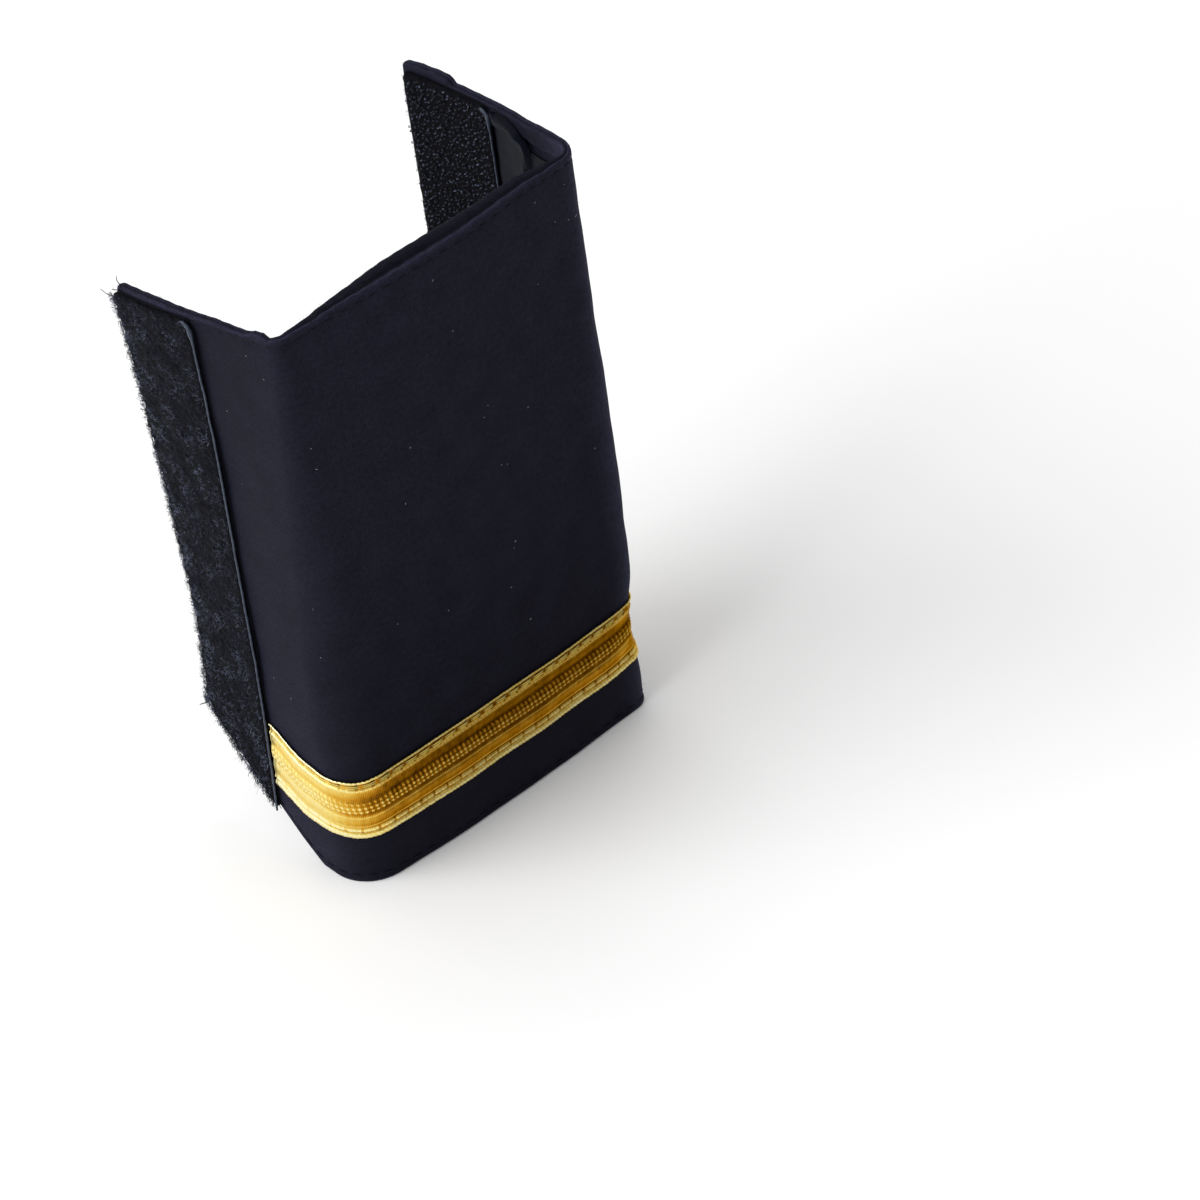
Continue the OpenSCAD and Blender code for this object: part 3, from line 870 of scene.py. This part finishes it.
def makeStitches(name, slot, d, z, out, material, length, radius):
    # each stitch is a short bowed thread: out + lift x (1 - (2t - 1)^4), its ends sunk in the cloth
    sink, t = 0.35, np.linspace(0, 1, 6)
    part = length / np.maximum(np.hypot(np.diff(d), np.diff(z)), 1e-6)
    s = 0.5 + (t[None, :] - 0.5) * part[:, None]
    lift = 0.8 * radius * ((1 - (2 * t - 1) ** 4) * (1 + sink) - sink)
    path = wrap(*(mix(v[:-1, None], v[1:, None], s) + rise for v, rise in ((d, 0), (z, 0), (out, lift))))
    radii = radius * np.sqrt(np.clip(1 - (2 * t - 1) ** 2 * 0.9, 0, 1))[None, :]
    return makeTubes(name, path, radii, 6, material)


def evenly(d, z, pitch):
    # points a pitch apart along a line on the cloth
    along = np.concatenate([[0], np.cumsum(np.hypot(np.diff(d), np.diff(z)))])
    at = np.arange(0, along[-1], pitch)
    return np.interp(at, along, d), np.interp(at, along, z)


def makeHemStitches(s):
    # one line of stitches goes round the whole cloth, inside its edge
    edge = halfCloth - s["stitchIn"]
    x = np.linspace(-edge, edge, 400)
    bottom, top = low(x) + s["stitchIn"], high(x) - s["stitchIn"]
    d, z = evenly(np.concatenate([x, x[::-1], x[:1]]),
                  np.concatenate([bottom, top[::-1], bottom[:1]]), s["stitchPitch"])
    return makeStitches("hemStitches", "navy_twill", d, z, clothRelief(d, z, s), sewingThread, *s["stitch"])


hemStitches = makeHemStitches(clothSettings)

# Gold lace
laceSettings = {
    "width": 11.3, "up": 9.5, "climb": 2.2, "climbOver": 7.5,  # mm; the left end climbs beside the strip
    "step": 0.13, "inset": 1.0, "knee": 41,
    "stitchPitch": 2.35, "beadPitch": 0.775, "twistPitch": 0.62, "beadRows": 3,
    # shares of the width: the rope rib, the wound yarns and where the couching pinches the lace
    "rib": (0.452, 0.662),
    "wound": ((-1, 0.09), (0.12, 0.175), (0.835, 0.875), (0.966, 2)),
    "pinched": ((0.09, 0.18), (0.87, 0.965)),
}
laceLeft = -(halfCloth - stripSettings["width"] - gap - 0.2)
# share of the width from the lower edge, height in mm, tone
laceSection = np.array([
    (0, 0.2, 0.5), (0.012, 0.4, 0.66), (0.055, 0.5, 0.74), (0.085, 0.42, 0.56), (0.098, 0.28, 0.26),
    (0.108, 0.28, 0.26), (0.122, 0.42, 0.56), (0.148, 0.5, 0.72), (0.175, 0.42, 0.5), (0.19, 0.3, 0.16),
    (0.205, 0.3, 0.18), (0.215, 0.35, 0.62), (0.226, 0.31, 0.18), (0.25, 0.36, 0.2), (0.3, 0.44, 0.28),
    (0.34, 0.44, 0.3), (0.36, 0.4, 0.3), (0.375, 0.43, 0.52), (0.392, 0.38, 0.26), (0.425, 0.34, 0.08),
    (0.45, 0.36, 0.1), (0.664, 0.36, 0.1), (0.69, 0.36, 0.08), (0.715, 0.4, 0.14), (0.76, 0.44, 0.2),
    (0.8, 0.43, 0.26), (0.825, 0.42, 0.32), (0.852, 0.52, 0.64), (0.872, 0.46, 0.5), (0.884, 0.28, 0.22),
    (0.94, 0.26, 0.18), (0.955, 0.32, 0.22), (0.966, 0.42, 0.44), (0.985, 0.5, 0.76), (1, 0.3, 0.5)])


def laceUp(d, share, s):
    # height of a point at a share of the band's width: the band climbs at its left end and sways where
    # it rounds the left fold
    climb = s["climb"] * ease((laceLeft + s["climbOver"] - d) / s["climbOver"]) * mix(0.78, 1.14, share)
    spread = bell((d + 35) / 4.5) * mix(-0.15, 0.35, share)
    sway = 0.42 * bell((d + 2) / 8) * share - 0.4 * bell((d + 25) / 3)
    return s["up"] + s["width"] * share + climb + spread + sway


def laceEnd(z, s):
    # the right end is cut off along the flap's slanted edge
    cut = mix(footEnd(1), halfCloth, (z - s["inset"]) / board["cutRise"])
    return np.minimum(cut, halfCloth - s["inset"])


def inBands(share, bands):
    # whether a share of the width lies in one of the bands
    return sum((share > start) & (share < end) for start, end in bands) > 0


def makeLace(s):
    # a closed loop of points round the band's section at every column along it
    last, knee = halfCloth - s["inset"], s["knee"]
    count = int((last - laceLeft) / s["step"])
    across, under = int(s["width"] / s["step"]), 4
    share = np.concatenate([np.linspace(0, 1, across), np.linspace(1, 0, under + 2)[1:-1]])[None, :]
    # columns run level, and crowd up to the slanted right end only in the last stretch
    end = laceEnd(s["up"] + s["width"] * share, s)
    plain = mix(laceLeft, last, np.linspace(0, 1, count))[:, None]
    d = np.where(plain > knee, knee + (plain - knee) * (end - knee) / (last - knee), plain)
    z = laceUp(d, share, s)
    # the edges' picots: the outline swings a little with each turn of the edge yarn
    picot = 1 + np.sin(2 * np.pi * d / s["twistPitch"]) + 0.8 * hills(d, d * 0, 3, 54)
    z = z - 0.03 * (bell(share / 0.02) - bell((1 - share) / 0.02)) * picot
    shares, heights, tones = laceSection.T
    height, tone = np.interp(share, shares, heights), np.interp(share, shares, tones)
    # the rope rib: rows of small knops on a slant, (1 + cos) / 2 along and |sin|^0.8 across
    inRib = (share - s["rib"][0]) / (s["rib"][1] - s["rib"][0])
    rib = (inRib > 0) & (inRib < 1)
    knop = np.clip(np.cos(2 * np.pi * (d / s["beadPitch"] + 0.55 * inRib)), -0.4, 1) * 0.5 + 0.5
    knop = knop * np.abs(np.sin(np.pi * inRib * s["beadRows"])) ** 0.8
    upperRow = 1 - 0.45 * ease((inRib - 0.6) / 0.15)
    height = np.where(rib, 0.38 + 0.14 * np.sin(np.pi * np.clip(inRib, 0, 1)) + 0.20 * knop, height)
    tone = np.where(rib, 0.04 + 0.72 * upperRow * knop ** 1.3, tone)
    # edge bands and ridges: slanting turns of wound yarn, pinched where a couching stitch goes down
    twist = inBands(share, s["wound"]) * 0.5 * np.sin(2 * np.pi * (d / s["twistPitch"] + share * 9))
    pinch = inBands(share, s["pinched"]) * bell(((d + 0.4) % s["stitchPitch"] - s["stitchPitch"] / 2) / 0.16)
    height = height + 0.03 * twist - 0.06 * pinch + 0.02 * hills(d, z, 1.3, 52)
    tone = tone + 0.18 * twist - 0.42 * pinch
    tone = tone + 0.03 * (hills(d, z * 0.25, 1.1, 51) + hills(d, z, 4, 55))
    # painted light: on the left flap the tone is raised towards the pale end, so the bands hardly differ
    tone = mix(tone, 0.61 + 0.4 * tone, ease((-21 - d) / 12))
    # the face lies on the cloth's waves, the underside is plain
    dent = laceDent(d, z)
    relief = 0.7 * clothRelief(d, z, clothSettings) - 0.3 * dent
    out = np.where(np.arange(share.size) < across, height + relief, gap * 0.5 - dent)
    cols, loop = d.shape
    ring = np.arange(loop)[None, :]
    faces = [gridFaces(cols, loop, closeRows=True), ring[:, ::-1], (cols - 1) * loop + ring]
    return newPiece("laceBand", wrap(d, z, out), faces, goldYarn, (d, z), np.clip(tone, 0, 1))


laceBand = makeLace(laceSettings)
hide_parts("gold_lace")


def makeCouching(s):
    # pale thread laid in the two channels, held down every couple of millimetres
    pieces = []
    for name, share, radius in (("couchingUpper", 0.928, 0.095), ("couchingInner", 0.9, 0.095),
                                ("couchingLower", 0.103, 0.06)):
        d = np.arange(laceLeft + 0.8, laceEnd(s["up"] + s["width"] * share, s) - 0.3, s["stitchPitch"])
        z = laceUp(d, share, s)
        pieces.append(makeStitches(name, "gold_lace", d, z, 0.3 - laceDent(d, z), couchThread,
                                   s["stitchPitch"] - 0.3, radius))
    return pieces


couching = makeCouching(laceSettings)


# Loose threads and lint
def makeLooseThreads():
    # frayed ends at the left flap's top corner and at the strip's lower corners:
    # root along and up the cloth, reach to the left, away and up, sag of the middle, radius, all in mm
    ends = [(-58.3, 96.6, (-1.9, 0.9, 1.4), -0.7, 0.09), (-56.4, 98.6, (-0.4, 0.1, 2.3), 0.5, 0.09),
            (-57.6, 97.6, (-0.9, 0.3, 0.5), 0.2, 0.08), (-58.0, 16.6, (-1.7, 0.9, -0.6), -0.1, 0.13),
            (-57.9, 18.4, (-1.0, 0.5, 0.5), 0.2, 0.07), (-42.3, 7.6, (0.1, -0.2, -1.6), 0.1, 0.1),
            (-44.5, 8.6, (-0.8, -0.2, -1.5), 0.3, 0.06), (-47.5, 10.2, (-1.3, 0.2, -0.9), 0.4, 0.06)]
    t = np.linspace(0, 1, 12)
    paths, radii = [], []
    for k, (d, z, reach, sag, radius) in enumerate(ends):
        curl = 0.12 * t * np.stack([np.sin(7 * t + k), np.cos(5 * t + 2 * k), np.sin(8 * t + 1)])
        bow = np.outer((-0.3, 0.2, 1.0), 4 * sag * t * (1 - t))
        paths.append(wrap(d, z, 0.2) + (np.outer(reach, t) + bow + curl).T)
        radii.append(radius * (1 - 0.5 * t))
    return makeTubes("looseThreads", np.array(paths), np.array(radii), 5, sewingThread)


looseThreads = makeLooseThreads()
lintSettings = {"fibres": 34, "length": (0.1, 0.35), "radius": 0.028}


def makeLint(s):
    # short fibres lying flat on the cloth, bowed a little
    r = np.random.default_rng(61)
    n = s["fibres"]
    d, z = r.uniform(-40, 27, n), r.uniform(24, 102, n)
    out, up, side = outwards(d, z)
    turn, length = (r.uniform(*span, n)[:, None, None] for span in ((0, np.pi), s["length"]))
    t = np.linspace(-0.5, 0.5, 4)[None, :, None]
    flat = np.cos(turn) * side[:, None] + np.sin(turn) * up[:, None]
    root = wrap(d, z, clothRelief(d, z, clothSettings) + 0.03)[:, None]
    path = root + length * (t * flat + 0.12 * np.cos(3 * t) * out[:, None])
    return makeTubes("lint", path, s["radius"], 3, lintFibre)


lint = makeLint(lintSettings)

napSettings = {"topHairs": 900, "foldHairs": 300, "length": (0.08, 0.28), "radius": 0.016}


def makeNap(s):
    # wool fibres that stand off the top edge and the folds, seen only against the light
    r = np.random.default_rng(71)
    n, fold = s["topHairs"], s["foldHairs"]
    d = np.concatenate([r.uniform(-halfCloth, halfCloth, n),
                        r.choice([-1, 1], fold) * (halfWidth + r.normal(0, 3, fold))])
    z = np.concatenate([topEdge(d[:n]) - 0.3, r.uniform(2, 103, fold)])
    root = np.concatenate([-r.uniform(0, 1, n) * (wall(d[:n]) + hem(d[:n])), -laceDent(d[n:], z[n:])])
    out, up, side = outwards(d, z)
    away = np.concatenate([up[:n], out[n:]])
    lean = r.normal(0, 0.6, (len(d), 3))
    length = mix(*s["length"], r.random(len(d)) ** 2)
    return makeHairs("clothNap", wrap(d, z, root), away * (1 + 0.15 / length[:, None]),
                     0.8 * lean, length, s["radius"] * np.array([1.2, 1, 0.5]), sewingThread)


clothNap = makeNap(napSettings)

# Floor and light
studio = {
    "sky": 0.5,
    "key": ((-1.15, 0.3, 0.95), 1.4, 24.0),        # place in m, side in m, power in W
    "overhead": ((0.25, 0.55, 1.35), 1.4, 7.0),
    "floor": ((-1600, -1600), (1600, 1600), 0),    # mm: two corners and height
    "card": ((-15, -230), (190, -29), 0.6),
}


def addStage(name, near, far, height, material):
    # a level rectangle of the studio, from corner to corner, in mm
    (x0, y0), (x1, y1) = near, far
    corners = np.array([(x0, y0, height), (x1, y0, height), (x1, y1, height), (x0, y1, height)])
    mesh = bpy.data.meshes.new(name)
    mesh.from_pydata((corners * mm).tolist(), [], [(0, 1, 2, 3)])
    mesh.materials.append(material)
    sheet = addObject(name, mesh)
    return sheet


def makeStudio(s):
    # a smooth pale sheet of paper, matt enough to show only a soft shadow
    paper, add = newMaterial("paleFloorPaper")
    cloud = add("TexNoise", links={"Vector": (add("TexCoord"), "Object"), "Scale": 3.0})
    finish(paper, add, {
        "Base Color": setRamp(add("ValToRGB", links={"Fac": cloud}), [(0.2, "f2f2f2"), (0.8, "f7f7f7")]),
        "Roughness": 1.0, "Specular IOR Level": 0.0})
    addStage("floor", *s["floor"], paper)
    # a dark brown card before the front, met only by reflections: it keeps the lace's satin deep
    black, add = newMaterial("darkCard")
    finish(black, add, {"Base Color": linear("33260f"), "Roughness": 1.0, "Specular IOR Level": 0.0})
    card = addStage("card", *s["card"], black)
    card.visible_camera = card.visible_diffuse = card.visible_shadow = False
    card.visible_transmission = card.visible_volume_scatter = False


def makeLight(name, place, side, power):
    # a square lamp turned towards the middle of the part
    data = bpy.data.lights.new(name, "AREA")
    data.shape, data.size, data.energy = "SQUARE", side, power
    lamp = addObject(name, data)
    lamp.location = place
    lamp.rotation_euler = (Vector((0, 0, 0.05)) - Vector(place)).to_track_quat("-Z", "Y").to_euler()


makeStudio(studio)
makeLight("keyLeft", *studio["key"])
makeLight("overhead", *studio["overhead"])
scene = bpy.context.scene
scene.world = bpy.data.worlds.new("studio")
scene.world.use_nodes = True
background = scene.world.node_tree.nodes["Background"]
background.inputs["Color"].default_value = (1, 1, 1, 1)
background.inputs["Strength"].default_value = studio["sky"]
scene.view_settings.view_transform = "Standard"
print("studio lit")
